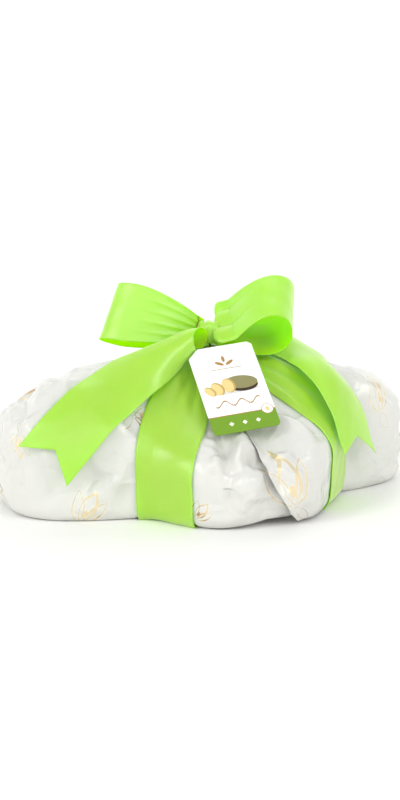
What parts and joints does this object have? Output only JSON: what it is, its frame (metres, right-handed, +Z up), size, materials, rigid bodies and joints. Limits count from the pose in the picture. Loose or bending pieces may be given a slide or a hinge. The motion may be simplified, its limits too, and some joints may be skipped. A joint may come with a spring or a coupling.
{
  "type": "gift-wrapped colomba easter cake",
  "caption": "Dove-shaped Easter cake shut in white printed paper, crossed by wide satin ribbon that is tied on top in a bow, with a card tag hanging from the knot.",
  "frame": {"origin": "on the table, under the middle of the pack's bounding box", "axes": "+X towards the dove's tail, along the pack's length; -Y towards the front wing, where the tag hangs; +Z up"},
  "size_m": [0.2901, 0.2148, 0.1487],
  "materials": {
    "wrapping_paper": "smooth pearl-white paper with a soft sheen, printed in matt gold",
    "satin_ribbon": "lime green woven satin",
    "tag_card": "smooth coated card",
    "tag_cord": "dark brown cotton cord"
  },
  "bodies": {
    "root": {"wrapped_cake": "wrapping_paper", "ribbon_band_left": "satin_ribbon", "ribbon_band_right": "satin_ribbon", "bow_knot": "satin_ribbon", "bow_loop_left": "satin_ribbon", "bow_loop_right": "satin_ribbon", "bow_tail_left": "satin_ribbon", "bow_tail_right": "satin_ribbon", "gift_tag": "tag_card", "tag_string": "tag_cord"}
  },
  "joints": []
}
